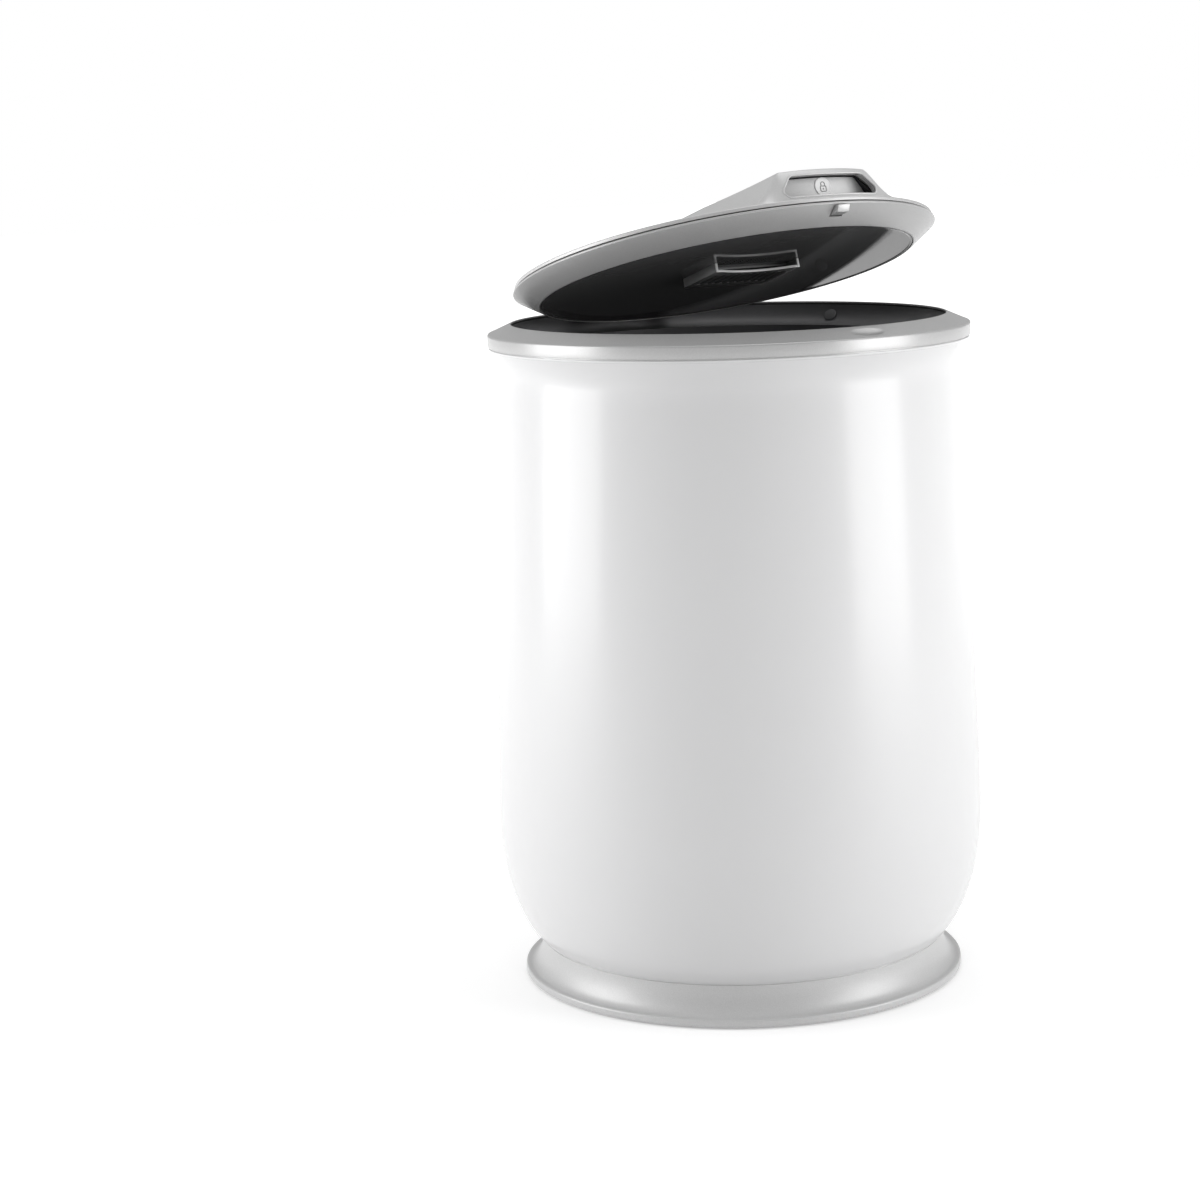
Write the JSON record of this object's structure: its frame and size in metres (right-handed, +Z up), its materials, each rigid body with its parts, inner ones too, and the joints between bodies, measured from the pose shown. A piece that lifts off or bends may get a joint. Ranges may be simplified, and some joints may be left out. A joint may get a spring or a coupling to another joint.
{
  "type": "towel warmer bucket",
  "caption": "Round heated bucket with a white shell, grey base and ring, and a hinged lid with a latch paddle, key panel and fragrance holder; stands on rubber feet.",
  "frame": {"origin": "on the floor under the centre of the base", "axes": "+Z up, -Y is the front with the latch, +Y is the hinge, +X is right as seen from the front"},
  "size_m": [0.3283, 0.3284, 0.5419],
  "materials": {
    "rubber_black": "matte rubber",
    "grey_plastic": "satin moulded grey",
    "cover_plastic": "satin moulded light grey",
    "white_gloss": "gloss white",
    "pot_coating": "dark non-stick coating",
    "liner_plastic": "glossy dark moulding",
    "dark_plastic": "matte dark moulding",
    "steel": "plated steel",
    "brass": "plain bronze",
    "aluminium": "plain sheet",
    "heater_film": "amber film",
    "insulation": "needled felt",
    "circuit_board": "solder mask",
    "support_plastic": "heat-resistant moulding",
    "white_badge": "satin white",
    "icon_grey": "satin grey",
    "panel_gloss": "gloss dark",
    "display_glass": "smoked window",
    "key_plastic": "satin light grey",
    "trim_bright": "satin trim"
  },
  "bodies": {
    "body": {"foot_pads": "rubber_black", "base_plinth": "grey_plastic", "base_plate": "dark_plastic", "base_screws": "steel", "shell_screws": "steel", "cord_gland": "rubber_black", "power_board": "circuit_board", "board_posts": "support_plastic", "board_screws": "steel", "pot_support": "support_plastic", "heater_plate": "aluminium", "heater_band": "heater_film", "insulation_sleeve": "insulation", "thermostat": "dark_plastic", "thermal_fuse": "support_plastic", "inner_pot": "pot_coating", "pot_gasket": "rubber_black", "seat_sensor": "dark_plastic", "outer_shell": "white_gloss", "top_ring": "grey_plastic", "hinge_bracket": "grey_plastic", "hinge_pin": "steel", "pin_clip": "steel", "friction_bushes": "brass", "hinge_screws": "steel", "hinge_cover": "grey_plastic"},
    "lid": {"hinge_leaf": "cover_plastic", "leaf_screws": "steel", "lid_cover": "cover_plastic", "lid_ring": "grey_plastic", "lid_liner": "liner_plastic", "liner_gasket": "rubber_black", "lid_insulation": "insulation", "lid_screws": "steel", "fragrance_holder": "dark_plastic", "holder_screws": "steel", "slot_trim": "trim_bright", "latch_guide": "dark_plastic", "latch_springs": "steel", "control_panel": "panel_gloss", "display_lens": "display_glass", "display_module": "dark_plastic", "panel_board": "circuit_board", "panel_screws": "steel"},
    "latch": {"release_paddle": "cover_plastic", "lock_badge": "white_badge", "lock_icon": "icon_grey", "latch_bolt": "grey_plastic", "paddle_screws": "steel"},
    "power_key": {"power_key": "key_plastic"},
    "timer_key": {"timer_key": "key_plastic"},
    "mode_key": {"mode_key": "key_plastic"}
  },
  "joints": [
    {"name": "lid_hinge", "type": "hinge", "parent": "body", "child": "lid", "pos_m": [0, 0.146, 0.45], "axis": [-1, 0, 0], "range_deg": [-16, 69]},
    {"name": "latch_slide", "type": "slide", "parent": "lid", "child": "latch", "axis": [0, 0.9613, -0.2756], "range_m": [0, 0.004], "stiffness_N_per_m": 700, "springref_m": -0.003, "deforming": ["latch_springs"]},
    {"name": "power_key_press", "type": "slide", "parent": "lid", "child": "power_key", "axis": [0, -0.319, -0.9478], "range_m": [0, 0.0008], "stiffness_N_per_m": 600, "springref_m": -0.0005},
    {"name": "timer_key_press", "type": "slide", "parent": "lid", "child": "timer_key", "axis": [0, -0.319, -0.9478], "range_m": [0, 0.0008], "stiffness_N_per_m": 600, "springref_m": -0.0005},
    {"name": "mode_key_press", "type": "slide", "parent": "lid", "child": "mode_key", "axis": [0, -0.319, -0.9478], "range_m": [0, 0.0008], "stiffness_N_per_m": 600, "springref_m": -0.0005}
  ]
}
